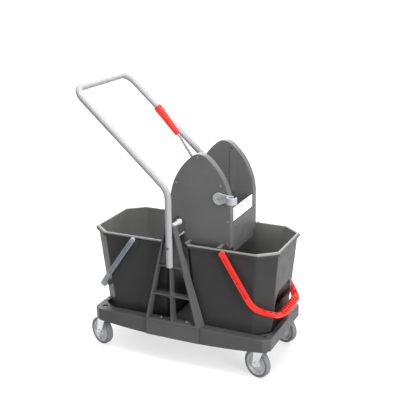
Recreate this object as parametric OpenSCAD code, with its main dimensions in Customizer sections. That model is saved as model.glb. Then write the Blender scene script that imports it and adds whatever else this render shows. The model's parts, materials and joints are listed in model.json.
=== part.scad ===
// Double mop bucket trolley: a wheeled deck with two lift-out buckets, two side towers,
// a bent-tube push handle and a lever wringer that hooks over pegs on the towers.
// X runs along the trolley (handle to the left), Y to the back, Z up from the floor.

/* [Deck] */
// Length of the deck
deck_l = 660; // [650:1:680]
// Width of the deck
deck_w = 330; // [328:1:334]
// Height of the deck's top edge above the tops of the wheels
deck_over_wheel = 53; // [51:1:60]
// How far the towers stand to the left of the deck's middle
tower_off = 18; // [12:1:20]
// Length of the cut across each deck corner
deck_cut = 23; // [16:1:26]
// Depth of the skirt at the deck's ends
skirt_h = 41; // [38:1:43]
// How much deeper the skirt is at mid length
skirt_bow = 19; // [8:1:22]
// Wall thickness of the deck
deck_t = 4; // [3:0.5:4.5]
// Depth of the recess that the buckets stand in
recess_h = 12; // [9:1:13]
// Cut across the outer corners of a recess
recess_cut = 34; // [32:1:40]

/* [Casters] */
// Diameter of the wheels
wheel_d = 100; // [96:1:104]
// Width of the tyres
wheel_w = 22; // [18:1:24]
// Distance of the axle behind the swivel bolt
trail = 23; // [20:1:26]
// Distance of the swivel bolts from the deck's ends and sides
caster_in = 30; // [28:1:32]
// Direction that the wheels trail in at rest
caster_yaw = -20; // [-30:1:30]
// Diameter of the swivel bolts
stem_d = 12; // [10:0.5:14]
// Diameter of the axle bolts
axle_d = 8; // [6:0.5:10]

/* [Buckets] */
// Height of the bucket rims above the deck's top edge
rim_over_deck = 288; // [284:1:292]
// Length of a bucket over its rim
bucket_l = 320; // [314:1:322]
// Width of a bucket over its rim
bucket_w = 304; // [300:1:305]
// Gap between the two rims at mid deck
bucket_gap = 40; // [38:1:46]
// Wall thickness of the buckets
bucket_t = 3.5; // [3:0.5:4]
// Overhang of the rim
lip_w = 6; // [5:0.5:7]
// Height of the rim band
lip_h = 13; // [11:1:15]
// Length of the cut across the outer rim corners
rim_cut_x = 58; // [50:1:62]
// Width of the cut across the outer rim corners
rim_cut_y = 48; // [44:1:52]
// How far the outer end leans in towards the foot
end_lean = 26; // [22:1:30]
// How far the long sides lean in towards the foot
side_lean = 20; // [18:1:22]

/* [Bails] */
// Lean of the left bail as it hangs, from straight down
left_bail_lean = 35.4; // [34:0.1:37]
// Lean of the right bail as it hangs, from straight down
right_bail_lean = 31.8; // [31.5:0.1:34]
// Length of the bail's straight arms
bail_arm = 207; // [200:1:212]
// Distance from the pivot to the grip, along the bail
bail_drop = 279; // [274:1:286]
// How far the right bail's grip stands off the plane of its arms
bail_kick = 33; // [32:1:40]
// How far the left bail's grip stands off the plane of its arms
left_bail_kick = 10; // [8:1:16]
// Length of the grip between its corners
bail_grip = 166; // [160:1:176]
// Diameter of the pivot studs
stud_d = 10; // [8:0.5:11]

/* [Towers] */
// Half width of a tower at the deck
tower_foot = 99; // [94:1:104]
// Half width of a tower at its top
tower_top_w = 16; // [15:0.5:18]
// Thickness of the tower's legs at the front
leg_t = 7; // [5:0.5:9]
// Height of the shelf under the handle tube, above the deck's top
shelf_over_deck = 209; // [200:1:215]

/* [Push handle] */
// Outer diameter of the tube
tube_d = 22; // [20:0.5:23]
// Wall thickness of the tube
tube_t = 1.5; // [1.2:0.1:2]
// Distance between the two legs at the push bar, axis to axis
handle_w = 347; // [335:1:360]
// Height of the bend above the bucket rims
bend_over_rim = 183; // [175:1:195]
// Reach of the handle to the left of the towers
handle_reach = 333; // [320:1:345]
// Rise of the handle above its bend
handle_rise = 307; // [290:1:320]
// Radius of the bends
bend_r = 62; // [50:1:75]
// Radius of the two top corners
corner_r = 45; // [35:1:60]

/* [Wringer] */
// Distance between the outer faces of the side covers
wringer_w = 230; // [226:1:236]
// Thickness of each side housing
shield_t = 27; // [26:0.5:29]
// Wall thickness of the side housings
shield_wall = 3; // [2.5:0.5:3.5]
// Height of the housings above the rim, up to the tip
shield_h = 299; // [296:1:303]
// Radius of the long side arcs
shield_r = 215; // [210:1:220]
// Radius of the rounded tip
tip_r = 42; // [36:1:46]
// Diameter of the locating pegs' heads
peg_d = 20; // [18:1:22]
// Lean of the lever at rest, to the left
lever_lean = 34; // [32:0.5:36]
// Travel of the lever
lever_travel = 45; // [30:1:48]
// Straight length of the lever rod
lever_l = 176; // [170:1:184]
// Diameter of the lever rod
rod_d = 8; // [7:0.5:9]
// Length of the lever grip
grip_l = 112; // [100:1:120]
// Diameter of the lever grip at its thick end
grip_d = 26; // [23:0.5:28]

/* [Mop clip] */
// Diameter of the mop handle that the clip holds
mop_d = 25; // [22:0.5:26]
// Height of the clip ring
clip_h = 22; // [18:1:26]

/* [Fits] */
// Radial clearance of shafts and pins that turn
run_gap = 0.05; // [0.03:0.01:0.1]
// Gap between pieces that move past each other
free_gap = 0.4; // [0.3:0.1:0.6]

/* [Hidden] */
$fn = 64;
// Colours
c_dark = [0.33, 0.33, 0.33];
c_body = [0.29, 0.29, 0.29];
c_shield = [0.37, 0.37, 0.37];
c_tube = [0.78, 0.78, 0.8];
c_zinc = [0.74, 0.75, 0.76];
c_red = [0.9, 0.12, 0.08];
c_bail = [0.5, 0.54, 0.58];
c_hub = [0.78, 0.79, 0.82];
c_tyre = [0.3, 0.3, 0.32];
c_white = [0.95, 0.95, 0.94];

// Middle of the deck, set so that the whole outline is centred on the origin
deck_x = 7.5;

// Heights
deck_top = wheel_d + deck_over_wheel;
floor_z = deck_top - recess_h;
rim_z = deck_top + rim_over_deck;
bend_z = rim_z + bend_over_rim;
shelf_z = deck_top + shelf_over_deck;

// Deck corners and casters
corner_ratio = 0.82;
boss_d = 46;
boss_h = 15;
head_h = 6;
crown_h = 7;
crown_d = 42;
boss_z = floor_z - deck_t - boss_h;
crown_top = boss_z - head_h - free_gap;
bolt_head_d = 17;
bolt_head_h = 7;
counterbore_d = 20;
fork_t = 2.5;
hub_w = wheel_w + 2;
fork_in = hub_w / 2 + 1.2;
eye_r = 11;
fork_shoulder = 29;
tyre_in = 0.8 * wheel_d / 2;
nut_h = 5;

// Towers
tower_x = deck_x - tower_off;
rim_clear = 1.5;
post_t = 18.5;
tube_proud = 1.5;
tower_back = bucket_w / 2 + rim_clear;
tower_y = tower_back + post_t;
foot_clear = 10;
foot_y = bucket_w / 2 - lip_w - side_lean + foot_clear;
tower_flare = 10;
rib_t = 5;
mid_rib_z = deck_top + 0.49 * shelf_over_deck;
shelf_t = 4;
sole_t = 7;
skin_t = 5;
eyelet_d = 18;
screw_x = 0.49 * tower_foot;
screw_y = (deck_w / 2 + foot_y) / 2;
screw_d = 5;
peg_x = tower_x + 10;
peg_z = rim_z + 63;
shank_d = 14;
peg_head = 18;
peg_in = 8;
tower_z = peg_z;
handle_y = tower_y + tube_proud;
web_y = handle_y - tube_d / 2;
handle_bolt_z = rim_z - 11;
handle_bolt_d = 6;

// Push handle
bend_a = atan2(handle_reach, handle_rise);
bend_in = bend_r * tan(bend_a / 2);
slope_l = norm([handle_reach, handle_rise]) - bend_in;
leg_l = slope_l - corner_r;
leg_lean = atan2(handle_w / 2 - handle_y, leg_l);
// How far the straight lengths run into the bends, and how much thinner the bends are
bend_lap = 1;
bend_step = 0.2;

// Buckets, measured outwards from the middle of the deck
rim_in = bucket_gap / 2;
rim_out = rim_in + bucket_l;
foot_z = floor_z + free_gap;
inner_cut = 16;
recess_room = 4;
inner_lean = 16;
foot_cut = 0.9;
pivot_u = 164;
pivot_z = rim_z - 11;
arm_w = 15;
arm_t = 11;
arm_y = bucket_w / 2 + rim_clear + arm_t / 2;
grip_h = 18;
grip_t = 15;
rib_step = 16;
grip_wall = 3;
cell_deep = 6;
slot_deep = 10;
groove_w = 7;
groove_deep = 1.6;
bend_round = 46;
grip_round = 24;
stud_l = 7;
pad_w = 24;
pad_h = 26;
scoop_w = 160;
scoop_h = 142;
scoop_z = deck_top + scoop_h;
scoop_deep = 15;
scoop_low = 66;
scoop_rise = 150;
scoop_out = 54;

// Wringer
shield_x = deck_x + 67;
cover_y = wringer_w / 2;
shell_y = cover_y - shield_t;
split_y = cover_y - shield_t / 2;
shield_bottom = rim_z - 7;
arc_z = rim_z + 121;
tip_z = rim_z + shield_h - tip_r;
arc_spread = sqrt(pow(shield_r - tip_r, 2) - pow(tip_z - arc_z, 2));
shield_hw = shield_r - arc_spread;
notch_r = peg_d / 2 + 7;
hook_x = deck_x + rim_in + lip_w + bucket_t + 1.5;
jaw_x = shield_x - 27;
jaw_z = rim_z + 11.5;
jaw_shaft_d = 12;
jaw_lean = -6;
jaw_h = 135;
jaw_t = 8;
jaw_side = 2;
gear_m = 5;
lever_teeth = 32;
jaw_teeth = 48;
gear_d = gear_m * (lever_teeth + jaw_teeth) / 2;
mesh_a = 75.6;
lever_x = jaw_x + gear_d * cos(mesh_a);
lever_z = jaw_z + gear_d * sin(mesh_a);
lever_shaft_d = 14;
gear_t = 8;
lever_hub_d = 36;
jaw_hub_d = 18;
spoke_w = 26;
jaw_ring = gear_m * jaw_teeth / 2 - 28;
hub_t = 14;
rod_start = 11;
kick_a = 6.6;
grip_gap = 6;
tie_d = 12;
panel_t = 3;
panel_drop = 29;
panel_rise = 74;
panel_ring_r = 29;
panel_ring_z = rim_z + 18;
relief = 2;
plate_t = 4;
plate_top = rim_z + 119;
plate_knee = rim_z + 78;
plate_foot = rim_z - 12;
plate_gap = 26;
drain_d = 8;
drain_step = 22;
drain_row = 26;
guide_x = shield_x + 31;
guide_w = 20;
guide_t = 1.2;
guide_z = rim_z + 119;
guide_l = 149;
guide_top = guide_z + guide_l;
tip_hole_d = 6;
lug_w = 12;
lug_t = 4;
lug_short = 5;
cover_screw_d = 4;
boss_r = 5;
clip_x = shield_x + 69;
clip_over_rim = 160;
clip_z = rim_z + clip_over_rim;
clip_r = 20;
clip_t = 5;
ring_t = 4.5;
ring_x = shield_x + 120;
ring_z = clip_z + 4 - clip_h / 2;
ring_y = cover_y + free_gap + ring_t + mop_d / 2;
ring_open = 60;
ring_gap = 18;

CORNERS = ["front_left", "front_right", "rear_left", "rear_right"];
SHIELD_SCREWS = [[-5, 289], [-84, 196], [74, 202], [99, 85], [-48, 13], [97, 4]];
TIE_RODS = [[-88, 104], [70, 5]];
LUGS = [-36, 79];

// Shared shapes

// Rectangle from u0 to u1 with a cut of a by b at the u0 corners and c by d at the u1 corners
module cut_box(u0, u1, hw, a, b, c, d) {
    polygon([[u0, -hw + b], [u0 + a, -hw], [u1 - c, -hw], [u1, -hw + d],
             [u1, hw - d], [u1 - c, hw], [u0 + a, hw], [u0, hw - b]]);
}

// Flat outline in X and Z, drawn from y0 to y1
module slab_xz(y0, y1) {
    translate([0, y1, 0]) rotate([90, 0, 0]) linear_extrude(y1 - y0) children();
}

// Round bar along Y
module bar_y(x, z, d, y0, y1) {
    translate([x, y0, z]) rotate([-90, 0, 0]) cylinder(d = d, h = y1 - y0);
}

// The same piece on the front and on the back
module both_sides() {
    children();
    mirror([0, 1, 0]) children();
}

// Deck

module deck_outline(inset) {
    cut_box(-deck_l / 2 + inset, deck_l / 2 - inset, deck_w / 2 - inset,
            deck_cut, corner_ratio * deck_cut, deck_cut, corner_ratio * deck_cut);
}

// Plan of a bucket: 0 at the foot, 1 under the rim, grown outwards by g
module bucket_plan(k, g) {
    cut_box(rim_in + lip_w + (1 - k) * inner_lean - g, rim_out - lip_w - (1 - k) * end_lean + g,
            bucket_w / 2 - lip_w - (1 - k) * side_lean + g,
            inner_cut, inner_cut,
            rim_cut_x * (foot_cut + (1 - foot_cut) * k), rim_cut_y * (foot_cut + (1 - foot_cut) * k));
}

// Plan of a recess: the foot of a bucket with room round it and squarer outer corners
module recess_plan() {
    cut_box(rim_in + lip_w + inner_lean - recess_room, rim_out - lip_w - end_lean + recess_room,
            bucket_w / 2 - lip_w - side_lean + recess_room, inner_cut, inner_cut, recess_cut, recess_cut);
}

// Runs its children at the four swivel bolts
module at_casters() {
    for (sx = [-1, 1], sy = [-1, 1])
        translate([deck_x + sx * (deck_l / 2 - caster_in), sy * (deck_w / 2 - caster_in), 0]) children();
}

module deck() {
    skirt_low = deck_top - skirt_h - skirt_bow;
    bow_r = (pow(deck_l / 2, 2) + pow(skirt_bow, 2)) / (2 * skirt_bow);
    color(c_dark) difference() {
        union() {
            translate([deck_x, 0, 0]) difference() {
                intersection() {
                    translate([0, 0, skirt_low]) linear_extrude(deck_top - skirt_low) deck_outline(0);
                    bar_y(0, skirt_low + bow_r, 2 * bow_r, -deck_w, deck_w, $fn = 200);
                }
                translate([0, 0, skirt_low - 1])
                    linear_extrude(floor_z - deck_t - skirt_low + 1) deck_outline(deck_t);
                for (m = [0, 1]) mirror([m, 0, 0])
                    translate([0, 0, floor_z]) linear_extrude(recess_h + 1) recess_plan();
            }
            at_casters() translate([0, 0, boss_z]) cylinder(d = boss_d, h = boss_h + 1);
        }
        at_casters() translate([0, 0, boss_z - 1]) cylinder(d = stem_d, h = deck_top);
        at_casters() translate([0, 0, floor_z]) cylinder(d = counterbore_d, h = deck_top);
        for (sx = [-1, 1], sy = [-1, 1])
            translate([tower_x + sx * screw_x, sy * screw_y, floor_z - 1])
                cylinder(d = screw_d, h = recess_h + 2);
    }
}

// Casters

module caster_bolts() {
    color(c_zinc) at_casters() {
        translate([0, 0, crown_top - crown_h - 3]) cylinder(d = stem_d + 6, h = 3 - free_gap);
        translate([0, 0, crown_top - crown_h - 1])
            cylinder(d = stem_d, h = floor_z - crown_top + crown_h + 1);
        translate([0, 0, floor_z]) cylinder(d = bolt_head_d, h = bolt_head_h, $fn = 6);
    }
}

module caster_heads() {
    color(c_zinc) at_casters() translate([0, 0, boss_z - head_h]) difference() {
        union() {
            cylinder(d = crown_d + 2, h = head_h / 2);
            cylinder(d = crown_d - 6, h = head_h);
        }
        translate([0, 0, -1]) cylinder(d = stem_d, h = head_h + 2);
    }
}

// Places a caster piece: 0 front left, 1 front right, 2 rear left, 3 rear right
module at_caster(i) {
    sx = i % 2 == 0 ? -1 : 1;
    sy = i < 2 ? -1 : 1;
    translate([deck_x + sx * (deck_l / 2 - caster_in), sy * (deck_w / 2 - caster_in), 0])
        rotate([0, 0, caster_yaw]) children();
}

module fork(i) {
    color(c_zinc) at_caster(i) difference() {
        union() {
            translate([0, 0, crown_top - crown_h]) cylinder(d = crown_d, h = crown_h);
            for (s = [0, 1]) mirror([0, s, 0])
                slab_xz(fork_in, fork_in + fork_t) {
                    translate([-trail, wheel_d / 2]) circle(eye_r);
                    polygon([[-trail - eye_r, wheel_d / 2], [-trail + eye_r, wheel_d / 2],
                             [13, crown_top - crown_h], [13, crown_top - 1],
                             [-13, crown_top - 1], [-17, crown_top - crown_h - 5],
                             [-fork_shoulder, crown_top - crown_h - 12]]);
                }
        }
        translate([0, 0, crown_top - crown_h - 1]) cylinder(d = stem_d + 2 * run_gap, h = crown_h + 2);
        bar_y(-trail, wheel_d / 2, axle_d, -wheel_w, wheel_w);
    }
}

module axle(i) {
    reach = fork_in + fork_t;
    color(c_zinc) at_caster(i) {
        bar_y(-trail, wheel_d / 2, axle_d, -reach, reach);
        for (s = [0, 1]) mirror([0, s, 0])
            translate([-trail, reach, wheel_d / 2]) rotate([-90, 0, 0])
                cylinder(d = 2 * axle_d - 2, h = nut_h, $fn = 6);
    }
}

module hub(i) {
    color(c_hub) at_caster(i) translate([-trail, 0, wheel_d / 2]) rotate([90, 0, 0]) rotate_extrude()
        polygon([[axle_d / 2 + run_gap, -hub_w / 2], [12, -hub_w / 2], [14, -7], [tyre_in - 8, -4],
                 [tyre_in - 5, -wheel_w / 2 + 1], [tyre_in, -wheel_w / 2 + 1],
                 [tyre_in, wheel_w / 2 - 1], [tyre_in - 5, wheel_w / 2 - 1],
                 [tyre_in - 8, 4], [14, 7], [12, hub_w / 2], [axle_d / 2 + run_gap, hub_w / 2]]);
}

module tyre(i) {
    tread = 5;
    color(c_tyre) at_caster(i) translate([-trail, 0, wheel_d / 2]) rotate([90, 0, 0]) rotate_extrude() {
        translate([tyre_in, -wheel_w / 2]) square([wheel_d / 2 - tyre_in - tread, wheel_w]);
        translate([tyre_in, tread - wheel_w / 2]) square([wheel_d / 2 - tyre_in, wheel_w - 2 * tread]);
        for (s = [-1, 1]) translate([wheel_d / 2 - tread, s * (wheel_w / 2 - tread)]) circle(tread);
    }
}

// Towers

// Half width of a tower's front face at height z
function tower_w(z) = tower_foot + (tower_top_w - tower_foot) * (z - deck_top) / (tower_z - deck_top);

// One window between the middle rib and a leg
module tower_window(z0, z1) {
    polygon([[rib_t / 2, z0], [tower_w(z0) - leg_t, z0], [tower_w(z1) - leg_t, z1], [rib_t / 2, z1]]);
}

module tower() {
    sole_w = tower_w(deck_top + sole_t);
    color(c_dark) difference() {
        union() {
            intersection() {
                hull() for (e = [[tower_y, 0], [foot_y, tower_flare]])
                    slab_xz(-e[0], -e[0] + 0.1)
                        polygon([[-tower_foot - e[1], deck_top], [tower_foot + e[1], deck_top],
                                 [tower_top_w + e[1], tower_z], [-tower_top_w - e[1], tower_z]]);
                translate([-2 * tower_foot, 0, 0]) rotate([90, 0, 90]) linear_extrude(4 * tower_foot)
                    polygon([[-tower_y, deck_top], [-foot_y, deck_top],
                             [-tower_back, rim_z - lip_h - 10], [-tower_back, tower_z], [-tower_y, tower_z]]);
            }
            slab_xz(-deck_w / 2 - skin_t, -deck_w / 2)
                translate([-tower_foot, deck_top - skirt_h - 0.84 * skirt_bow])
                    square([2 * tower_foot, skirt_h + 0.84 * skirt_bow + sole_t]);
            slab_xz(-deck_w / 2 - skin_t, -foot_y)
                translate([-sole_w, deck_top]) square([2 * sole_w, sole_t]);
        }
        for (s = [0, 1]) mirror([s, 0, 0]) slab_xz(-2 * tower_y, 0) {
            tower_window(deck_top + sole_t, mid_rib_z - rib_t / 2);
            tower_window(mid_rib_z + rib_t / 2, shelf_z - shelf_t);
        }
        slab_xz(-2 * tower_y, -web_y) {
            for (s = [0, 1]) mirror([s, 0])
                polygon([[0, shelf_z], [tower_w(shelf_z) - leg_t, shelf_z],
                         [tube_d / 2 + 1, tower_z - 12], [tube_d / 2 + 1, tower_z + 1], [0, tower_z + 1]]);
        }
        bar_y(peg_x - tower_x, peg_z, shank_d, -2 * tower_y, 0);
        bar_y(0, handle_bolt_z, handle_bolt_d, -2 * tower_y, 0);
        for (s = [-1, 1]) translate([s * screw_x, -screw_y, deck_top - 1])
            cylinder(d = screw_d, h = sole_t + 2);
    }
    color(c_dark) difference() {
        bar_y(0, mid_rib_z, eyelet_d, -tower_y - 1, -tower_y + eyelet_d);
        bar_y(0, mid_rib_z, eyelet_d - 2 * rib_t, -tower_y - 2, -tower_y + 12);
    }
}

module front_tower() translate([tower_x, 0, 0]) tower();

module rear_tower() translate([tower_x, 0, 0]) mirror([0, 1, 0]) tower();

module tower_screws() {
    color(c_zinc) both_sides() for (s = [-1, 1])
    translate([tower_x + s * screw_x, -screw_y, deck_top + sole_t]) {
        translate([0, 0, -sole_t - recess_h]) cylinder(d = screw_d, h = sole_t + recess_h);
        cylinder(d = 2 * screw_d, h = 3);
    }
}

// Push handle

module handle_path(d) {
    slope = [-bend_r + bend_r * cos(bend_a), 0, bend_z - bend_in + bend_r * sin(bend_a)];
    both_sides() translate([0, handle_y, 0]) {
        translate([0, 0, shelf_z]) cylinder(d = d, h = bend_z - bend_in - shelf_z + bend_lap);
        translate([-bend_r, 0, bend_z - bend_in]) rotate([90, 0, 0])
            rotate_extrude(angle = bend_a) translate([bend_r, 0]) circle(d = d - bend_step);
    }
    translate(slope) rotate([0, -bend_a, 0]) {
        both_sides() {
            translate([0, handle_y, 0]) rotate([-leg_lean, 0, 0]) translate([0, 0, -bend_lap])
                cylinder(d = d, h = leg_l / cos(leg_lean) + 2 * bend_lap);
            translate([0, handle_w / 2 - corner_r, leg_l]) rotate([90, 0, 90])
                rotate_extrude(angle = 90) translate([corner_r, 0]) circle(d = d - bend_step);
        }
        bar_y(0, slope_l, d, -handle_w / 2 + corner_r - bend_lap, handle_w / 2 - corner_r + bend_lap);
    }
}

module push_handle() {
    color(c_tube) translate([tower_x, 0, 0]) difference() {
        handle_path(tube_d);
        handle_path(tube_d - 2 * tube_t);
        bar_y(0, handle_bolt_z, handle_bolt_d, -2 * handle_y, 2 * handle_y);
    }
}

module handle_bolts() {
    face_y = -handle_y - tube_d / 2;
    color(c_dark) both_sides() {
        bar_y(tower_x, handle_bolt_z, handle_bolt_d, face_y, -tower_back);
        bar_y(tower_x, handle_bolt_z, handle_bolt_d + 4, face_y - 2.5, face_y);
    }
}

// A headed peg through the head of each tower that the wringer's notch drops over
module locating_pegs() {
    nose = peg_d / 4;
    tip = -cover_y + peg_in;
    color(c_tube) both_sides() {
        bar_y(peg_x, peg_z, shank_d, -web_y + 0.5, tip - peg_head);
        bar_y(peg_x, peg_z, peg_d, tip - peg_head, tip - nose);
        translate([peg_x, tip - nose, peg_z]) rotate([-90, 0, 0])
            cylinder(d1 = peg_d, d2 = peg_d - 2 * nose, h = nose);
    }
}

// Buckets

// Tapered body of a bucket from its foot up to height top, shrunk by g on all sides
module bucket_body(g, top) {
    hull() {
        translate([0, 0, foot_z + g]) linear_extrude(0.1) bucket_plan(0, -g);
        translate([0, 0, top - 1]) linear_extrude(1) bucket_plan(1, -g);
    }
}

// Hand scoop low in the outer end wall, grown by g: deepest a little above the foot, then sloping out
module scoop(g) {
    half = scoop_w / 2 + g;
    top = scoop_z + g;
    deep = rim_out - lip_w - end_lean - scoop_deep - g;
    low = foot_z + scoop_low;
    intersection() {
        translate([deep - end_lean, 0, 0]) rotate([90, 0, 90]) linear_extrude(6 * end_lean)
            polygon([[-half, foot_z - 1], [-0.86 * half, top - 36], [-0.6 * half, top],
                     [0.6 * half, top], [0.86 * half, top - 36], [half, foot_z - 1]]);
        slab_xz(-half - 1, half + 1)
            polygon([[deep + 9, foot_z - 1], [deep, low], [deep + scoop_out, low + scoop_rise],
                     [deep + 4 * end_lean, low + scoop_rise], [deep + 4 * end_lean, foot_z - 1]]);
    }
}

module bucket() {
    difference() {
        union() {
            bucket_body(0, rim_z - lip_h / 2);
            hull() {
                translate([0, 0, rim_z - lip_h]) linear_extrude(lip_h - 4) bucket_plan(1, lip_w);
                translate([0, 0, rim_z - 0.1]) linear_extrude(0.1) bucket_plan(1, lip_w - 3);
            }
            both_sides() slab_xz(-bucket_w / 2, -bucket_w / 2 + lip_w + 3)
                polygon([[pivot_u - pad_w, rim_z - lip_h], [pivot_u - pad_w / 2, pivot_z - pad_h],
                         [pivot_u + pad_w / 2, pivot_z - pad_h], [pivot_u + pad_w, rim_z - lip_h]]);
            both_sides()
                bar_y(pivot_u, pivot_z, stud_d, -bucket_w / 2 - rim_clear - stud_l, -bucket_w / 2 + 1);
        }
        difference() {
            bucket_body(bucket_t, rim_z + 1);
            scoop(bucket_t);
        }
        scoop(0);
    }
}

module right_bucket() color(c_body) translate([deck_x, 0, 0]) bucket();

module left_bucket() color(c_body) translate([deck_x, 0, 0]) mirror([1, 0, 0]) bucket();

// Bails, drawn hanging straight down from the pivot and then leaned outwards

// Path through the points p, with corner i rounded from r[i] before it to r[i] after it
function rounded(p, r) = [for (i = [0:len(p) - 1]) each i == 0 || i == len(p) - 1 ? [p[i]] :
    let (a = p[i] + r[i] * (p[i - 1] - p[i]) / norm(p[i - 1] - p[i]),
         c = p[i] + r[i] * (p[i + 1] - p[i]) / norm(p[i + 1] - p[i]))
    [for (k = [0:0.125:1]) pow(1 - k, 2) * a + 2 * k * (1 - k) * p[i] + k * k * c]];

// Flat strip along a path, w0 wide at its start and w1 at its end
module strip(p, w0, w1) {
    last = len(p) - 1;
    side = [for (i = [0:last]) let (d = p[min(i + 1, last)] - p[max(i - 1, 0)])
        [-d[1], d[0]] / norm(d) * (w0 + (w1 - w0) * i / last) / 2];
    polygon(concat([for (i = [0:last]) p[i] + side[i]], [for (i = [last:-1:0]) p[i] - side[i]]));
}

module bail(lean, kick) {
    half = bail_grip / 2;
    below = bail_drop - bail_arm;
    slope = [kick, arm_y - half, -below];
    fall = norm([kick, below]);
    tilt = atan2(kick, below);
    front = rounded([[-arm_y, 0], [-arm_y, -bail_arm], [-half, -bail_drop], [1, -bail_drop]],
                    [0, bend_round, grip_round, 0]);
    edge = rounded([[0, 0], [0, -bail_arm], 1.5 * [kick, -below] - [0, bail_arm]],
                   [0, bend_round / 2, 0]);
    translate([pivot_u, 0, pivot_z]) rotate([0, -lean, 0]) difference() {
        union() {
            both_sides() bar_y(0, 0, arm_w + 2, -arm_y - arm_t / 2, -arm_y + arm_t / 2);
            intersection() {
                both_sides() translate([-bail_drop, 0, 0]) rotate([90, 0, 90])
                    linear_extrude(2 * bail_drop) strip(front, arm_t, grip_h);
                slab_xz(-bail_drop, bail_drop) strip(edge, arm_w, grip_t);
            }
        }
        both_sides() {
            bar_y(0, 0, stud_d + 2 * run_gap, -arm_y + arm_t / 2 - stud_l - free_gap, -arm_y + arm_t);
            translate([-groove_w / 2, -arm_y - arm_t, bend_round - bail_arm])
                cube([groove_w, arm_t / 2 + groove_deep, bail_arm - bend_round - arm_w]);
            for (k = [0.36, 0.58, 0.8]) translate([0, -arm_y, -bail_arm] + k * slope)
                rotate([0, -tilt, 0]) rotate([atan2(-fall, arm_y - half), 0, 0]) translate([grip_t / 2, 0, 0])
                    cube([2 * slot_deep, rib_step - grip_wall, grip_h - 4 * grip_wall], center = true);
        }
        for (i = [-4:4]) translate([kick, i * rib_step, -bail_drop]) rotate([0, -tilt, 0])
            translate([grip_t / 2, 0, 0])
                cube([2 * cell_deep, rib_step / 2, grip_h - 2 * grip_wall], center = true);
    }
}

module right_bail() color(c_red) translate([deck_x, 0, 0]) bail(right_bail_lean, bail_kick);

module left_bail() {
    color(c_bail) translate([deck_x, 0, 0]) mirror([1, 0, 0]) bail(left_bail_lean, left_bail_kick);
}

// Wringer side housings

// Height where the side arcs meet the tip, for an outline drawn i inside the edge
function tip_join(i) = arc_z + (shield_r - i) * (tip_z - arc_z) / (shield_r - tip_r);

// Side view of a housing, drawn i inside its edge
module shield_view(i) {
    translate([shield_x, 0]) difference() {
        union() {
            intersection() {
                translate([arc_spread, arc_z]) circle(shield_r - i, $fn = 180);
                translate([-arc_spread, arc_z]) circle(shield_r - i, $fn = 180);
                translate([-shield_r, arc_z]) square([2 * shield_r, tip_join(i) - arc_z]);
            }
            intersection() {
                translate([0, tip_z]) circle(tip_r - i, $fn = 96);
                translate([-tip_r, tip_join(i)]) square(2 * tip_r);
            }
            translate([i - shield_hw, shield_bottom + i])
                square([2 * (shield_hw - i), arc_z - shield_bottom - i]);
        }
        translate([peg_x - shield_x, peg_z]) circle(notch_r + i);
        translate([-2 * shield_hw, shield_bottom - 1])
            square([2 * shield_hw + peg_x - shield_x + notch_r + i, peg_z - shield_bottom + 1]);
        translate([-2 * shield_hw, shield_bottom - 1])
            square([2 * shield_hw + hook_x - shield_x + i, rim_z + free_gap + i - shield_bottom + 1]);
    }
}

// Side opening that the lever swings in
module lever_slot() {
    far = 2 * shield_r;
    a0 = lever_lean - 5;
    a1 = lever_lean + lever_travel + 5;
    slab_xz(-split_y - rod_d / 2 - 1.5, -split_y + rod_d / 2 + 1.5)
        polygon([[lever_x, lever_z], [lever_x - far * sin(a0), lever_z + far * cos(a0)],
                 [lever_x - far * sin(a1), lever_z + far * cos(a1)]]);
}

module at_shield_screws() {
    for (p = SHIELD_SCREWS) translate([shield_x + p[0], 0, rim_z + p[1]]) children();
}

// Outer half of a housing, drawn at the front; the front one has the lever's slot and bearing
module cover(front) {
    inner = cover_y - shield_wall;
    color(c_shield) difference() {
        union() {
            difference() {
                slab_xz(-cover_y, -split_y) shield_view(0);
                slab_xz(-inner, -split_y + 1) shield_view(shield_wall);
            }
            bar_y(jaw_x, jaw_z, jaw_shaft_d + 8, -inner, -inner + 3);
            if (front) bar_y(lever_x, lever_z, lever_shaft_d + 8, -inner, -inner + 3);
            for (x = LUGS) translate([shield_x + x - lug_w / 2, -bucket_w / 2 + lug_short, rim_z + free_gap])
                cube([lug_w, bucket_w / 2 - lug_short - inner, lug_t]);
        }
        bar_y(jaw_x, jaw_z, jaw_shaft_d + 2 * run_gap, -inner + 1, 0);
        if (front) bar_y(lever_x, lever_z, lever_shaft_d + 2 * run_gap, -inner, 0);
        if (front) lever_slot();
        at_shield_screws() bar_y(0, 0, cover_screw_d, -cover_y - 1, 0);
    }
}

// Inner half of a housing, with the screw posts
module shell(front) {
    inner = cover_y - shield_wall;
    color(c_shield) difference() {
        union() {
            difference() {
                slab_xz(-split_y, -shell_y) shield_view(0);
                slab_xz(-split_y - 1, -shell_y - shield_wall) shield_view(shield_wall);
            }
            at_shield_screws() bar_y(0, 0, 2 * boss_r, -inner, -shell_y - shield_wall);
            translate([guide_x - guide_w / 2, -shell_y - 1, guide_z])
                cube([guide_w, 1 + guide_t, guide_top - guide_z]);
        }
        bar_y(jaw_x, jaw_z, jaw_shaft_d + 2 * run_gap, -cover_y, 0);
        if (front) bar_y(lever_x, lever_z, lever_shaft_d + 2 * run_gap, -cover_y, 0);
        if (front) lever_slot();
        at_shield_screws() bar_y(0, 0, cover_screw_d, -cover_y, -shell_y - shield_wall);
        bar_y(guide_x - guide_w / 4, guide_top + tip_hole_d, tip_hole_d, -split_y, 0);
    }
}

module front_cover() cover(true);

module rear_cover() mirror([0, 1, 0]) cover(false);

module front_shell() shell(true);

module rear_shell() mirror([0, 1, 0]) shell(false);

module cover_screws() {
    color(c_zinc) at_shield_screws() {
        bar_y(0, 0, cover_screw_d, -cover_y, -shell_y - shield_wall - 2);
        bar_y(0, 0, 2 * cover_screw_d, -cover_y - 1.5, -cover_y);
    }
}

module front_cover_screws() cover_screws();

module rear_cover_screws() mirror([0, 1, 0]) cover_screws();

// Wringer frame between the housings

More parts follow.
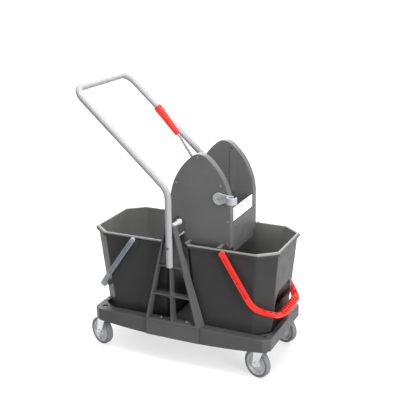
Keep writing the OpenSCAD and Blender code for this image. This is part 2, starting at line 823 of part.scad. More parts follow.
module end_panel() {
    x = shield_x + shield_hw - panel_t;
    color(c_shield) {
        translate([x, -shell_y, rim_z - panel_drop]) cube([panel_t, 2 * shell_y, panel_drop + panel_rise]);
        translate([x + panel_t - relief / 2, -shell_y + 6, rim_z + panel_rise - 12])
            cube([relief, 2 * shell_y - 12, panel_t]);
        translate([x + panel_t - relief / 2, 0, panel_ring_z]) rotate([0, 90, 0]) difference() {
            cylinder(r = panel_ring_r, h = relief);
            translate([0, 0, -relief]) cylinder(r = panel_ring_r - panel_t, h = 3 * relief);
        }
    }
}

// White drained plate that the mop is pressed against
module press_plate() {
    x = shield_x + shield_hw - panel_t - 1;
    foot = [jaw_x + plate_gap, plate_foot];
    lean = atan2(x - plate_t - foot[0], plate_knee - foot[1]);
    color(c_white) difference() {
        slab_xz(-shell_y, shell_y)
            polygon([foot, [x - plate_t, plate_knee], [x - plate_t, plate_top], [x, plate_top],
                     [x, plate_knee - plate_t / 2], [foot[0] + plate_t / cos(lean), foot[1]]]);
        translate([foot[0], 0, foot[1]]) rotate([0, lean, 0])
            for (i = [0:3], j = [-3:3]) translate([-1, j * drain_step, drain_step + i * drain_row])
                rotate([0, 90, 0]) cylinder(d = drain_d, h = 3 * plate_t);
    }
}

module tie_rods() {
    color(c_zinc) for (p = TIE_RODS) bar_y(shield_x + p[0], rim_z + p[1], tie_d, -shell_y, shell_y);
}

// Mop clip: a round pad on the front cover, an arm and an open ring for the mop's handle

module mop_clip() {
    outer = mop_d / 2 + ring_t;
    color(c_hub) difference() {
        union() {
            bar_y(clip_x, clip_z, 2 * clip_r, -cover_y - clip_t, -cover_y);
            slab_xz(-cover_y - clip_t, -cover_y)
                polygon([[clip_x, clip_z + 0.9 * clip_r], [ring_x, ring_z + clip_h - 3], [ring_x, ring_z + 3],
                         [clip_x, clip_z - 0.9 * clip_r]]);
            translate([ring_x, -ring_y, ring_z]) cylinder(r = outer, h = clip_h);
        }
        translate([ring_x, -ring_y, clip_z - clip_h]) cylinder(d = mop_d, h = 2 * clip_h);
        translate([ring_x, -ring_y, clip_z - clip_h]) rotate([0, 0, ring_open])
            translate([0, -ring_gap / 2, 0]) cube([2 * outer, ring_gap, 2 * clip_h]);
        bar_y(clip_x, clip_z, cover_screw_d, -cover_y - clip_t - 1, 0);
    }
}

module clip_screw() {
    color(c_zinc) {
        bar_y(clip_x, clip_z, cover_screw_d, -cover_y - clip_t, -cover_y);
        bar_y(clip_x, clip_z, 2 * cover_screw_d, -cover_y - clip_t - 1.5, -cover_y - clip_t);
    }
}

// Gears

function involute(a) = tan(a) * 180 / PI - a;

// Half angle of a tooth at radius r, with play for running
function tooth_half(r, teeth) = let (base = gear_m * teeth / 2 * cos(20), play = 0.35)
    90 / teeth - play * 180 / (PI * gear_m * teeth) + involute(20) - involute(acos(min(1, base / r)));

module tooth(teeth) {
    pitch = gear_m * teeth / 2;
    radii = [for (k = [0:6]) max(pitch * cos(20), pitch - 1.25 * gear_m) + k / 6
             * (pitch + gear_m - max(pitch * cos(20), pitch - 1.25 * gear_m))];
    root = pitch - 1.25 * gear_m - 1;
    right = [for (r = radii) r * [cos(tooth_half(r, teeth)), -sin(tooth_half(r, teeth))]];
    left = [for (k = [6:-1:0]) [right[k][0], -right[k][1]]];
    first = tooth_half(radii[0], teeth);
    polygon(concat([root * [cos(first), -sin(first)]], right, left, [root * [cos(first), sin(first)]]));
}

// Ring segment of a gear from tooth first to tooth last, with the given tooth offset in pitches
module gear_segment(teeth, inner, first, last, offset) {
    root = gear_m * (teeth / 2 - 1.25);
    step = 360 / teeth;
    a0 = (first + offset - 0.5) * step;
    a1 = (last + offset + 0.5) * step;
    difference() {
        intersection() {
            circle(root);
            polygon(concat([[0, 0]], [for (k = [0:4]) let (a = a0 + k * (a1 - a0) / 4)
                2 * root * [cos(a), sin(a)]]));
        }
        if (inner > 0) circle(inner);
    }
    for (k = [first:last]) rotate((k + offset) * step) tooth(teeth);
}

module lever_gear() {
    color(c_hub) difference() {
        union() {
            slab_xz(-split_y - gear_t / 2, -split_y + gear_t / 2) translate([lever_x, lever_z])
                rotate(mesh_a + 180) gear_segment(lever_teeth, 0, -5, 1, 0);
            bar_y(lever_x, lever_z, lever_hub_d, -split_y - hub_t / 2, -split_y + hub_t / 2);
        }
        bar_y(lever_x, lever_z, lever_shaft_d, -cover_y, 0);
        translate([lever_x, -split_y, lever_z]) rotate([0, -lever_lean, 0])
            translate([0, 0, rod_start]) cylinder(d = rod_d, h = lever_hub_d);
    }
}

module jaw_gear() {
    spoke_a = mesh_a + 11;
    color(c_hub) difference() {
        union() {
            slab_xz(-split_y - gear_t / 2, -split_y + gear_t / 2) translate([jaw_x, jaw_z]) {
                rotate(mesh_a) gear_segment(jaw_teeth, jaw_ring, -2, 4, 0.5);
                rotate(spoke_a) translate([0, -spoke_w / 2]) square([jaw_ring + 4, spoke_w]);
            }
            bar_y(jaw_x, jaw_z, jaw_hub_d, -split_y - hub_t / 2, -split_y + hub_t / 2);
        }
        bar_y(jaw_x, jaw_z, jaw_shaft_d, -cover_y, 0);
    }
}

// Lever

module lever_shaft() {
    color(c_zinc) bar_y(lever_x, lever_z, lever_shaft_d, -cover_y + shield_wall + 0.3, -shell_y - 0.5);
}

// Rod, drawn upright from the shaft and then leaned; it kicks over a little below the grip
module at_lever() {
    translate([lever_x, -split_y, lever_z]) rotate([0, -lever_lean, 0]) children();
}

module at_lever_grip() {
    at_lever() translate([0, 0, lever_l]) rotate([0, -kick_a, 0]) children();
}

module lever_rod() {
    color(c_zinc) {
        at_lever() translate([0, 0, rod_start]) cylinder(d = rod_d, h = lever_l - rod_start);
        at_lever() translate([0, 0, lever_l]) sphere(d = rod_d + 0.4);
        at_lever_grip() cylinder(d = rod_d, h = grip_gap + grip_l - 6);
    }
}

module lever_grip() {
    r = grip_d / 2;
    color(c_red) at_lever_grip() translate([0, 0, grip_gap]) difference() {
        rotate_extrude()
            polygon([[0, 0], [r - 5, 0], [r - 3.5, 2], [r - 2.5, 0.3 * grip_l], [r - 1, 0.7 * grip_l],
                     [r, 0.76 * grip_l], [r, grip_l - 3], [r - 2, grip_l], [0, grip_l]]);
        translate([0, 0, -1]) cylinder(d = rod_d, h = grip_l - 5);
    }
}

// Jaw

module jaw_shaft() {
    color(c_zinc) bar_y(jaw_x, jaw_z, jaw_shaft_d, -cover_y + shield_wall + 1.5, cover_y - shield_wall - 1.5);
}

module press_jaw() {
    side = shell_y - jaw_side;
    color(c_dark) translate([jaw_x, 0, jaw_z]) rotate([0, jaw_lean, 0]) difference() {
        union() {
            translate([-jaw_t / 2, -side, 0]) cube([jaw_t, 2 * side, jaw_h]);
            bar_y(0, 0, jaw_shaft_d + 8, -side, side);
            for (y = [-side, -2, side - 4]) translate([-jaw_t / 2 - 6, y, 0]) cube([7, 4, jaw_h - 8]);
        }
        bar_y(0, 0, jaw_shaft_d, -cover_y, cover_y);
        for (i = [0:3], j = [-3:3])
            translate([-jaw_t, j * drain_step + (j < 0 ? -3 : 3), drain_step + jaw_t + i * drain_row])
                rotate([0, 90, 0]) cylinder(d = drain_d, h = 2 * jaw_t);
    }
}

deck();
front_tower();
rear_tower();
tower_screws();
push_handle();
handle_bolts();
locating_pegs();
caster_bolts();
caster_heads();
for (i = [0:3]) {
    fork(i);
    axle(i);
    hub(i);
    tyre(i);
}
left_bucket();
right_bucket();
left_bail();
right_bail();
front_cover();
front_shell();
rear_cover();
rear_shell();
front_cover_screws();
rear_cover_screws();
end_panel();
press_plate();
tie_rods();
mop_clip();
clip_screw();
lever_shaft();
lever_gear();
lever_rod();
lever_grip();
jaw_shaft();
jaw_gear();
press_jaw();
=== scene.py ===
"""Looks of a double mop bucket trolley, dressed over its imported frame. Metres, Z up."""

import json
import math

import bmesh
import bpy
from mathutils import Matrix, Vector


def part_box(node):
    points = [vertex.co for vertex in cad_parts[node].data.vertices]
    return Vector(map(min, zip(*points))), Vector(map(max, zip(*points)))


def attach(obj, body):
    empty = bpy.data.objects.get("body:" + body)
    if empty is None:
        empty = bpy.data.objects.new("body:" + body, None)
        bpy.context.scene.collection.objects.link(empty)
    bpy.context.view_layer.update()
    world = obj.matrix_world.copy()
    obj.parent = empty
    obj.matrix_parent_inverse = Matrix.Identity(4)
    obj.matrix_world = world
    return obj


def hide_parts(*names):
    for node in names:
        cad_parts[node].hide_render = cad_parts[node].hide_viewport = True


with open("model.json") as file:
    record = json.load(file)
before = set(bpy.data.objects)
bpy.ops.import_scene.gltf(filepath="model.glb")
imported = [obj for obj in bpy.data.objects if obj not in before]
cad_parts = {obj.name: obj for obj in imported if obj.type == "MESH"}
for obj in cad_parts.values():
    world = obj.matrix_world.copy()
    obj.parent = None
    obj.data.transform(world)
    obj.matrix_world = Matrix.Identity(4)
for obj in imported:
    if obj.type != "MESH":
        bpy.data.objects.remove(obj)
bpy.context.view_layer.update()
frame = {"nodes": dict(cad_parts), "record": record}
nodes = frame["nodes"]
record = frame["record"]
slot_of = {part["node"]: part["material_slot"] for part in record["subparts"]}
body_of = {node: body for body, names in record["behaviour"]["bodies"].items() for node in names}
scene = bpy.context.scene

# Camera, fitted to the outline of the object
CAMERA_AZIMUTH = math.radians(25.08)
CAMERA_ELEVATION = math.radians(17.84)
CAMERA_ROLL = math.radians(-0.73)
CAMERA_DISTANCE = 2.7585
CAMERA_TARGET = Vector((0.0224, 0, 0.5469))
CAMERA_LENS = 73.0
CAMERA_SENSOR = 36.0

# Light from all round, and the soft lamps
WHITE = (1, 1, 1, 1)
WORLD_LIGHT = 0.32
LAMPS = {
    "overhead": dict(place_at=(0.2, -0.25, 2.3), aim_at=(0, 0, 0.3), size=(2.0, 1.5), power=72),
    "right_key": dict(place_at=(2.3, -1.2, 0.8), aim_at=(0, 0, 0.4), size=(1.0, 1.4), power=62),
    "back_softbox": dict(place_at=(-1.0, 2.6, 1.7), aim_at=(0, 0, 0.5), size=(3.2, 1.5), power=80),
}

# Floor, and how much white is added where it is seen, from near the object to far off
FLOOR_SIZE = 30.0
FLOOR_COLOUR = (0.45, 0.45, 0.45, 1)
FLOOR_LIFT_NEAR, FLOOR_LIFT_FAR = 0.62, 0.9
FLOOR_NEAR, FLOOR_FAR = 0.9, 3.2

# Points closer than the gap are joined, and so are faces that meet at less than the flat angle.
# Edges that meet at more than the sharp angle are rounded.
SEAM_GAP = 1e-5
FLAT_ANGLE = math.radians(0.6)
SHARP_ANGLE = math.radians(24)

# How much the flat faces rule the shading of the rounded edges beside them
FACE_WEIGHT = 90

# An edge is steep where this share of its length goes up
STEEP = 0.7

# Bucket: rim band, corners up the walls that are at least this long, foot band, and the rest
RIM_BAND, RIM_RADIUS = 0.0132, 0.0021
WALL_CORNER, WALL_RADIUS = 0.1, 0.0045
FOOT_BAND, FOOT_RADIUS = 0.006, 0.003
BUCKET_RADIUS = 0.0009

# Deck: outer corners, top edge within the band, and the rest
DECK_CORNER, DECK_CORNER_RADIUS = 0.03, 0.004
DECK_TOP_BAND, DECK_TOP_EDGE, DECK_TOP_RADIUS = 0.001, 0.012, 0.0022
DECK_RADIUS = 0.0007

# Housing: how far a shell's screw posts stand past the split, edges at the split, outline, and the rest
POST_PAST_SPLIT = 0.0105
SAME_PLANE = 0.0005
SPLIT_RADIUS = 0.0003
OUTLINE_EDGE, OUTLINE_RADIUS = 0.0022, 0.0016
HOUSING_RADIUS = 0.0006

# Edge radius of the nodes that are rounded evenly
TOWER_RADIUS = 0.0012
COVER_SCREW_RADIUS = 0.0009
CASTER_RADII = {"fork_": 0.0006, "hub_": 0.0008, "axle_": 0.0005}
PLAIN_RADII = {
    "end_panel": 0.0006,
    "press_plate": 0.0006,
    "mop_clip": 0.0004,
    "press_jaw": 0.0008,
    "lever_grip": 0.0012,
    "locating_pegs": 0.0012,
    "tower_screws": 0.0012,
    "handle_bolts": 0.001,
    "clip_screw": 0.0009,
    "caster_bolts": 0.0008,
    "caster_heads": 0.0008,
}

# Mesh attribute that is 1 where a bucket is painted paler: painted light on its inner walls and floor, and
# a painted highlight on its rim top. An inner wall looks at least this squarely at the middle of the
# bucket, and floor and rim look up this much. The floor is further below the rim's top than the first
# depth, and the rim is nearer to it than the second.
INSIDE = "inside"
INNER_FACING, FLOOR_FACING, RIM_FACING = 0.3, 0.9, 0.2
FLOOR_UNDER_RIM, RIM_TOP = 0.1, 0.005

# How far round a point the walls of a pocket count as close, for the painted shade at the bottom of pockets
POCKET_REACH = 0.006

# Blank oval on the front cover: middle and half axes in X and Z, then its ridge
OVAL_AT = (0.068, 0.655)
OVAL_HALF = (0.05, 0.03)
OVAL_WIDE = 0.0016
OVAL_PROUD = 0.0005
OVAL_BEHIND_SCREWS = 0.0015
OVAL_STEPS, OVAL_SIDES = 96, 8

# Sockets of a mix node that works on colours
MIX_FACTOR, MIX_FIRST, MIX_SECOND, MIX_RESULT = 0, 6, 7, 2

# Materials


def srgb(red, green, blue):
    """Linear colour of an 8-bit screen colour."""
    linear = [((c / 255 + 0.055) / 1.055) ** 2.4 for c in (red, green, blue)]
    return (*linear, 1.0)


def scaled(colour, factor):
    """A colour made darker or paler, and no paler than white."""
    return (*(min(1.0, c * factor) for c in colour[:3]), 1.0)


def new_material(name, sockets):
    """A material with these constants on its shader, and its tree and shader."""
    material = bpy.data.materials.new(name)
    material.use_nodes = True
    shader = material.node_tree.nodes["Principled BSDF"]
    for socket, value in sockets.items():
        shader.inputs[socket].default_value = value
    return material, material.node_tree, shader


def noise(tree, scale, detail):
    """Noise in the frame's own coordinates, so that its grain has a real size."""
    coords = tree.nodes.new("ShaderNodeTexCoord")
    texture = tree.nodes.new("ShaderNodeTexNoise")
    texture.inputs["Scale"].default_value = scale
    texture.inputs["Detail"].default_value = detail
    tree.links.new(coords.outputs["Object"], texture.inputs["Vector"])
    return texture.outputs["Fac"]


def clouded(tree, cloud, colour, dark, pale, start=0.3, end=0.7):
    """A colour that goes from dark to pale times itself as the cloud goes from start to end."""
    node = tree.nodes.new("ShaderNodeValToRGB")
    stops = ((start, scaled(colour, dark)), (end, scaled(colour, pale)))
    for element, (position, tone) in zip(node.color_ramp.elements, stops):
        element.position = position
        element.color = tone
    tree.links.new(cloud, node.inputs["Fac"])
    return node.outputs["Color"]


def remap(tree, value, low, high, start=0.3, end=0.7):
    """A value that goes from low to high as the given one goes from start to end."""
    node = tree.nodes.new("ShaderNodeMapRange")
    node.inputs["From Min"].default_value = start
    node.inputs["From Max"].default_value = end
    node.inputs["To Min"].default_value = low
    node.inputs["To Max"].default_value = high
    tree.links.new(value, node.inputs["Value"])
    return node.outputs["Result"]


def blend_colours(tree, factor, first, second):
    """Mixes two colours, each a socket or a constant."""
    node = tree.nodes.new("ShaderNodeMix")
    node.data_type = "RGBA"
    for index, value in ((MIX_FACTOR, factor), (MIX_FIRST, first), (MIX_SECOND, second)):
        if isinstance(value, bpy.types.NodeSocket):
            tree.links.new(value, node.inputs[index])
        else:
            node.inputs[index].default_value = value
    return node.outputs[MIX_RESULT]


def vary_roughness(tree, shader, value, roughness, below, above):
    """Lets the roughness wander about its middle."""
    spread = remap(tree, value, roughness - below, roughness + above)
    tree.links.new(spread, shader.inputs["Roughness"])


def bump(tree, shader, height, strength, distance=0.0003):
    """A fine relief on the surface."""
    node = tree.nodes.new("ShaderNodeBump")
    node.inputs["Strength"].default_value = strength
    node.inputs["Distance"].default_value = distance
    tree.links.new(height, node.inputs["Height"])
    tree.links.new(node.outputs["Normal"], shader.inputs["Normal"])


def edge_mask(tree, start=0.52, end=0.62):
    """1 on outer edges, 0 on flats and in corners."""
    geometry = tree.nodes.new("ShaderNodeNewGeometry")
    return remap(tree, geometry.outputs["Pointiness"], 0, 1, start, end)


def moulded_plastic(name, colour, roughness, grain=0.2, mottle=0.07, wear_and_highlight=1.3, shine=0.3,
                    inner=None, pocket_shade=None):
    """Moulded plastic: faint clouding, a spark-eroded grain and paler edges: rubbed wear, and on the
    buckets a painted highlight.

    inner is the colour of the faces that the mesh marks as inside, a paler tone that is painted light
    inside a bucket and a painted highlight on its rim. The last argument is how much of the colour is left
    at the bottom of pockets, a painted shade.
    """
    material, tree, shader = new_material(name, {"IOR": 1.48, "Specular IOR Level": shine})
    cloud = noise(tree, scale=11, detail=5)
    base = clouded(tree, cloud, colour, dark=1 - mottle, pale=1 + mottle)
    fleck = remap(tree, noise(tree, scale=650, detail=2), low=0, high=0.25, start=0.55, end=0.75)
    base = blend_colours(tree, fleck, base, scaled(colour, factor=1.15))
    # Paler edges: rubbed wear, and on the buckets a painted highlight
    base = blend_colours(tree, edge_mask(tree), base, scaled(colour, wear_and_highlight))
    # Painted light: faces marked inside a bucket take a paler tone, and the rim top a painted highlight
    if inner:
        marked = tree.nodes.new("ShaderNodeAttribute")
        marked.attribute_name = INSIDE
        painted_light_tone = clouded(tree, cloud, inner, dark=1 - mottle, pale=1 + mottle)
        base = blend_colours(tree, marked.outputs["Fac"], base, painted_light_tone)
    # Painted shade: the colour darkens at the bottom of pockets, where ambient occlusion is low
    if pocket_shade:
        pocket = tree.nodes.new("ShaderNodeAmbientOcclusion")
        pocket.inputs["Distance"].default_value = POCKET_REACH
        depth = remap(tree, pocket.outputs["AO"], low=1, high=0, start=0.45, end=0.85)
        base = blend_colours(tree, depth, base, scaled(colour, pocket_shade))
    tree.links.new(base, shader.inputs["Base Color"])
    vary_roughness(tree, shader, noise(tree, scale=26, detail=6), roughness, below=0.06, above=0.06)
    bump(tree, shader, noise(tree, scale=1400, detail=2), strength=grain)
    return material


def metal(name, colour, roughness):
    """Bright plated metal with faint drawing marks and a little dulling."""
    material, tree, shader = new_material(name, {"Metallic": 1.0})
    stain = noise(tree, scale=38, detail=6)
    base = clouded(tree, stain, colour, dark=0.88, pale=1, start=0.35, end=0.65)
    tree.links.new(base, shader.inputs["Base Color"])
    marks = noise(tree, scale=420, detail=4)
    vary_roughness(tree, shader, marks, roughness, below=0.07, above=0.1)
    bump(tree, shader, marks, strength=0.08, distance=0.0002)
    return material


def powder_coat(name, colour, roughness):
    """Powder-coated tube: even colour over a fine orange-peel skin."""
    material, tree, shader = new_material(name, {"Specular IOR Level": 0.12})
    base = clouded(tree, noise(tree, scale=7, detail=4), colour, dark=0.95, pale=1.04)
    rubbed = edge_mask(tree, start=0.54, end=0.64)
    base = blend_colours(tree, rubbed, base, scaled(colour, factor=1.12))
    tree.links.new(base, shader.inputs["Base Color"])
    vary_roughness(tree, shader, noise(tree, scale=60, detail=4), roughness, below=0.05, above=0.07)
    bump(tree, shader, noise(tree, scale=520, detail=2), strength=0.04)
    return material


def tyre_rubber(name, colour, roughness):
    """Grey rubber with a dusty bloom."""
    material, tree, shader = new_material(name, {"IOR": 1.5})
    dust = noise(tree, scale=70, detail=7)
    base = clouded(tree, dust, colour, dark=1, pale=1.55, start=0.4, end=0.75)
    tree.links.new(base, shader.inputs["Base Color"])
    vary_roughness(tree, shader, dust, roughness, below=0.08, above=0.12)
    bump(tree, shader, noise(tree, scale=900, detail=4), strength=0.3)
    return material


PLASTICS = {
    "dark_plastic": dict(colour=srgb(74, 74, 74), roughness=0.44, shine=0.2),
    # Paler than dark_plastic: painted light on the towers' legs
    "lit_tower_plastic": dict(colour=srgb(80, 80, 80), roughness=0.44, shine=0.25),
    # The bucket's edges and rim are made much paler, a painted highlight, and its inner faces paler,
    # painted light inside it
    "bucket_plastic": dict(colour=srgb(52, 52, 52), roughness=0.34, grain=0.08, wear_and_highlight=2.2, shine=0.14,
                           inner=srgb(112, 112, 111)),
    "housing_plastic": dict(colour=srgb(87, 87, 87), roughness=0.46, shine=0.25),
    # The bails' pockets darken: painted shade
    "red_plastic": dict(colour=srgb(240, 44, 32), roughness=0.38, grain=0.1, mottle=0.04, wear_and_highlight=1.1,
                        pocket_shade=0.22),
    # Its pockets darken as well: painted shade
    "grey_plastic": dict(colour=srgb(122, 130, 138), roughness=0.42, grain=0.12, pocket_shade=0.3),
    "light_plastic": dict(colour=srgb(186, 188, 192), roughness=0.4, grain=0.1, mottle=0.04, wear_and_highlight=1.1),
    # A darker copy of light_plastic: painted shade on the clip
    "shaded_clip_plastic": dict(colour=srgb(156, 158, 162), roughness=0.4, grain=0.1, mottle=0.04),
    # A paler copy of light_plastic: painted light on the hubs, which sit in shadow
    "lit_hub_plastic": dict(colour=srgb(206, 208, 212), roughness=0.36, grain=0.08, mottle=0.04, wear_and_highlight=1.05),
    "white_plastic": dict(colour=srgb(238, 238, 236), roughness=0.38, grain=0.08, mottle=0.03, wear_and_highlight=1),
}
METALS = {
    "zinc": dict(colour=srgb(206, 207, 210), roughness=0.3),
    "lever_steel": dict(colour=srgb(150, 143, 137), roughness=0.36),
    "black_bolt": dict(colour=srgb(96, 96, 98), roughness=0.4),
    "screw_steel": dict(colour=srgb(128, 128, 130), roughness=0.4),
}
MATERIALS = {
    **{name: moulded_plastic(name, **look) for name, look in PLASTICS.items()},
    **{name: metal(name, **look) for name, look in METALS.items()},
    "grey_tube": powder_coat("grey_tube", colour=srgb(152, 152, 154), roughness=0.55),
    "tyre": tyre_rubber("tyre", colour=srgb(108, 108, 110), roughness=0.7),
}

# Nodes that look a little different from the rest of their slot, by a part of their names. The towers and
# hubs are paler and the clip darker than their slot: painted light and painted shade.
OWN_LOOKS = {
    "hub_": "lit_hub_plastic",
    "_tower": "lit_tower_plastic",
    "_cover_screws": "screw_steel",
    "clip_screw": "screw_steel",
    "mop_clip": "shaded_clip_plastic",
}


def material_of(node):
    """A node's own look where it has one, or else the look of its slot."""
    for word, look in OWN_LOOKS.items():
        if word in node:
            return MATERIALS[look]
    return MATERIALS[slot_of[node]]


# Rounded copies of the nodes


def merged(node):
    """A node's mesh as clean faces: seams closed and flat triangles joined."""
    work = bmesh.new()
    work.from_mesh(nodes[node].data)
    bmesh.ops.remove_doubles(work, verts=work.verts, dist=SEAM_GAP)
    bmesh.ops.dissolve_limit(work, angle_limit=FLAT_ANGLE, verts=work.verts, edges=work.edges)
    return work


def smooth_mesh(work, name):
    """A smoothly shaded mesh of the work, which is freed."""
    mesh = bpy.data.meshes.new(name)
    work.to_mesh(mesh)
    work.free()
    for polygon in mesh.polygons:
        polygon.use_smooth = True
    return mesh


def placed(name, data):
    """A new object in the scene."""
    thing = bpy.data.objects.new(name, data)
    scene.collection.objects.link(thing)
    return thing


def dress(piece, material, slot, body):
    """Gives a piece its material and the body that it rides on; slot is not used."""
    piece.data.materials.clear()
    piece.data.materials.append(material)
    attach(piece, body)


def mark_inside(work, rim):
    """Marks the faces of a bucket that are painted paler: painted light on those that look at its middle
    and on its floor, a painted highlight on its rim.
    """
    along = [vert.co.x for vert in work.verts]
    middle = Vector(((min(along) + max(along)) / 2, 0))
    layer = work.faces.layers.float.new(INSIDE)
    for face in work.faces:
        at = face.calc_center_median()
        # Inner walls and floor take painted light, the rim top a painted highlight
        wall = (middle - at.xy).normalized().dot(face.normal.xy) > INNER_FACING
        floor = face.normal.z > FLOOR_FACING and at.z < rim - FLOOR_UNDER_RIM
        edge = face.normal.z > RIM_FACING and at.z > rim - RIM_TOP
        face[layer] = 1.0 if wall or floor or edge else 0.0


def soften(node, radius_at, segments=3, rim=None):
    """A copy of a node with rounded edges, in the node's place.

    radius_at gives an edge's radius from its two ends. rim is the height of a bucket's rim.
    """
    work = merged(node)
    if rim:
        mark_inside(work, rim)
    weights = work.edges.layers.float.new("bevel_weight_edge")
    sharp = [e for e in work.edges if len(e.link_faces) == 2 and e.calc_face_angle(0) > SHARP_ANGLE]
    radii = [radius_at(*(vert.co for vert in edge.verts)) for edge in sharp]
    widest = max(radii)
    for edge, radius in zip(sharp, radii):
        edge[weights] = radius / widest
    mesh = smooth_mesh(work, node + "_rough")
    rough = placed(node + "_rough", mesh)
    bevel = rough.modifiers.new("edges", "BEVEL")
    bevel.limit_method = "WEIGHT"
    bevel.width = widest
    bevel.segments = segments
    bevel.use_clamp_overlap = False
    normals = rough.modifiers.new("normals", "WEIGHTED_NORMAL")
    normals.weight = FACE_WEIGHT
    depsgraph = bpy.context.evaluated_depsgraph_get()
    finished = bpy.data.meshes.new_from_object(rough.evaluated_get(depsgraph), depsgraph=depsgraph)
    bpy.data.objects.remove(rough)
    bpy.data.meshes.remove(mesh)
    piece = placed(node + "_moulding", finished)
    dress(piece, material_of(node), slot_of[node], body_of[node])
    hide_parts(node)


def even(radius):
    """The same radius on every edge."""
    return lambda a, b: radius


def steep(a, b):
    """Whether an edge runs more up than along."""
    return abs(a.z - b.z) > STEEP * (a - b).length


def bucket_radius(rim, foot):
    """Round rim band, soft corners up the walls, soft foot."""
    def radius_at(a, b):
        if min(a.z, b.z) > rim - RIM_BAND:
            return RIM_RADIUS
        if steep(a, b) and (a - b).length > WALL_CORNER:
            return WALL_RADIUS
        if max(a.z, b.z) < foot + FOOT_BAND:
            return FOOT_RADIUS
        return BUCKET_RADIUS
    return radius_at


def deck_radius(top):
    """Rounded outer corners and top edge, small fillets elsewhere."""
    def radius_at(a, b):
        if steep(a, b) and (a - b).length > DECK_CORNER:
            return DECK_CORNER_RADIUS
        if min(a.z, b.z) > top - DECK_TOP_BAND and (a - b).length > DECK_TOP_EDGE:
            return DECK_TOP_RADIUS
        return DECK_RADIUS
    return radius_at


def housing_radius(split):
    """Rounded outline on the closed face of a housing half, crisp edges at the split and inside."""
    def radius_at(a, b):
        if min(abs(abs(p.y) - split) for p in (a, b)) < SAME_PLANE:
            return SPLIT_RADIUS
        if abs(a.y - b.y) < SAME_PLANE and (a - b).length > OUTLINE_EDGE:
            return OUTLINE_RADIUS
        return HOUSING_RADIUS
    return radius_at


def round_pieces():
    """Rounds every moulded, cast or pressed node, apart from the bails."""
    for side in ("left", "right"):
        bucket = side + "_bucket"
        low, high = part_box(bucket)
        soften(bucket, bucket_radius(high[2], low[2]), segments=4, rim=high[2])
    soften("deck", deck_radius(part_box("deck")[1][2]))
    for end in ("front", "rear"):
        low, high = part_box(end + "_shell")
        split = max(abs(low[1]), abs(high[1])) - POST_PAST_SPLIT
        soften(end + "_tower", even(TOWER_RADIUS))
        soften(end + "_cover", housing_radius(split))
        soften(end + "_shell", housing_radius(split))
        soften(end + "_cover_screws", even(COVER_SCREW_RADIUS))
        for side in ("left", "right"):
            for kind, radius in CASTER_RADII.items():
                soften(kind + end + "_" + side, even(radius), segments=2)
    for node, radius in PLAIN_RADII.items():
        soften(node, even(radius))


def blank_oval():
    """The faint raised oval on the front cover, left blank."""
    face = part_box("front_cover_screws")[0][1] + OVAL_BEHIND_SCREWS
    (mid_x, mid_z), (half_x, half_z) = OVAL_AT, OVAL_HALF
    work = bmesh.new()
    rings = []
    for step in range(OVAL_STEPS):
        turn = 2 * math.pi * step / OVAL_STEPS
        out = Vector((math.cos(turn) / half_x, 0, math.sin(turn) / half_z)).normalized()
        spot = Vector((mid_x + half_x * math.cos(turn), face, mid_z + half_z * math.sin(turn)))
        ring = []
        for side in range(OVAL_SIDES):
            around = 2 * math.pi * side / OVAL_SIDES
            proud = Vector((0, OVAL_PROUD * math.sin(around), 0))
            ring.append(work.verts.new(spot + out * OVAL_WIDE / 2 * math.cos(around) - proud))
        rings.append(ring)
    for ring, after in zip(rings, rings[1:] + rings[:1]):
        for side in range(OVAL_SIDES):
            beside = (side + 1) % OVAL_SIDES
            work.faces.new((ring[side], ring[beside], after[beside], after[side]))
    bmesh.ops.recalc_face_normals(work, faces=work.faces)
    piece = placed("front_oval", smooth_mesh(work, "front_oval"))
    dress(piece, MATERIALS["housing_plastic"], "housing_plastic", "wringer")


def dress_nodes():
    """Gives every node its material, which shows on those that keep their own meshes."""
    for node, carried in nodes.items():
        carried.data.materials.clear()
        carried.data.materials.append(material_of(node))


# Floor, light and camera


def area_lamp(name, place_at, aim_at, size, power):
    """A soft rectangular lamp at place_at that looks at aim_at."""
    data = bpy.data.lights.new(name, "AREA")
    data.shape = "RECTANGLE"
    data.size, data.size_y = size
    data.energy = power
    lamp = placed(name, data)
    lamp.location = place_at
    lamp.rotation_euler = (Vector(aim_at) - Vector(place_at)).to_track_quat("-Z", "Y").to_euler()
    lamp.visible_camera = False


def seen_directly(tree):
    """1 on rays that show the background: straight, mirrored or through glass."""
    path = tree.nodes.new("ShaderNodeLightPath")
    total = path.outputs["Is Camera Ray"]
    for name in ("Is Glossy Ray", "Is Transmission Ray"):
        add = tree.nodes.new("ShaderNodeMath")
        add.operation = "ADD"
        add.use_clamp = True
        tree.links.new(total, add.inputs[0])
        tree.links.new(path.outputs[name], add.inputs[1])
        total = add.outputs[0]
    return total


def pale_world():
    """An even white surround that lights the object at a plain level."""
    world = bpy.data.worlds.new("surround")
    world.use_nodes = True
    tree = world.node_tree
    tree.nodes.clear()
    mix = tree.nodes.new("ShaderNodeMixShader")
    output = tree.nodes.new("ShaderNodeOutputWorld")
    tree.links.new(seen_directly(tree), mix.inputs["Fac"])
    for socket, strength in ((mix.inputs[1], WORLD_LIGHT), (mix.inputs[2], 1.0)):
        background = tree.nodes.new("ShaderNodeBackground")
        background.inputs["Color"].default_value = WHITE
        background.inputs["Strength"].default_value = strength
        tree.links.new(background.outputs[0], socket)
    tree.links.new(mix.outputs[0], output.inputs["Surface"])
    scene.world = world


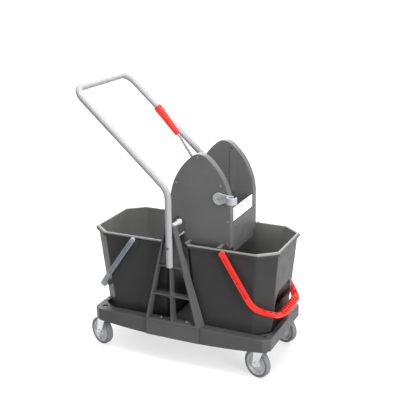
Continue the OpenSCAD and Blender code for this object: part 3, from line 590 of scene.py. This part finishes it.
def pale_floor():
    """A wide pale floor that keeps the object's shadow and shows white where nothing shades it."""
    work = bmesh.new()
    bmesh.ops.create_grid(work, x_segments=1, y_segments=1, size=FLOOR_SIZE / 2)
    mesh = bpy.data.meshes.new("floor")
    work.to_mesh(mesh)
    work.free()
    floor = placed("floor", mesh)
    material, tree, shader = new_material("floor", {
        "Roughness": 0.9, "Specular IOR Level": 0.1, "Emission Color": WHITE})
    tone = clouded(tree, noise(tree, scale=2, detail=2), FLOOR_COLOUR, dark=0.995, pale=1)
    tree.links.new(tone, shader.inputs["Base Color"])
    coords = tree.nodes.new("ShaderNodeTexCoord")
    away = tree.nodes.new("ShaderNodeVectorMath")
    away.operation = "LENGTH"
    tree.links.new(coords.outputs["Object"], away.inputs[0])
    white = remap(tree, away.outputs["Value"], FLOOR_LIFT_NEAR, FLOOR_LIFT_FAR, FLOOR_NEAR, FLOOR_FAR)
    lift = tree.nodes.new("ShaderNodeMath")
    lift.operation = "MULTIPLY"
    tree.links.new(seen_directly(tree), lift.inputs[0])
    tree.links.new(white, lift.inputs[1])
    tree.links.new(lift.outputs[0], shader.inputs["Emission Strength"])
    mesh.materials.append(material)


def photo_camera():
    """The camera at the photograph's place, with its small roll."""
    data = bpy.data.cameras.new("camera")
    data.lens = CAMERA_LENS
    data.sensor_width = CAMERA_SENSOR
    camera = placed("camera", data)
    level = Vector((math.cos(CAMERA_AZIMUTH), math.sin(CAMERA_AZIMUTH), 0))
    back = Vector((math.sin(CAMERA_AZIMUTH) * math.cos(CAMERA_ELEVATION),
                   -math.cos(CAMERA_AZIMUTH) * math.cos(CAMERA_ELEVATION), math.sin(CAMERA_ELEVATION)))
    right = level * math.cos(CAMERA_ROLL) + back.cross(level) * math.sin(CAMERA_ROLL)
    turn = Matrix((right, back.cross(right), back)).transposed()
    camera.matrix_world = Matrix.Translation(CAMERA_TARGET + back * CAMERA_DISTANCE) @ turn.to_4x4()
    scene.camera = camera


round_pieces()
blank_oval()
dress_nodes()
pale_world()
pale_floor()
for lamp_name, lamp_facts in LAMPS.items():
    area_lamp(lamp_name, **lamp_facts)
photo_camera()
scene.view_settings.view_transform = "Standard"
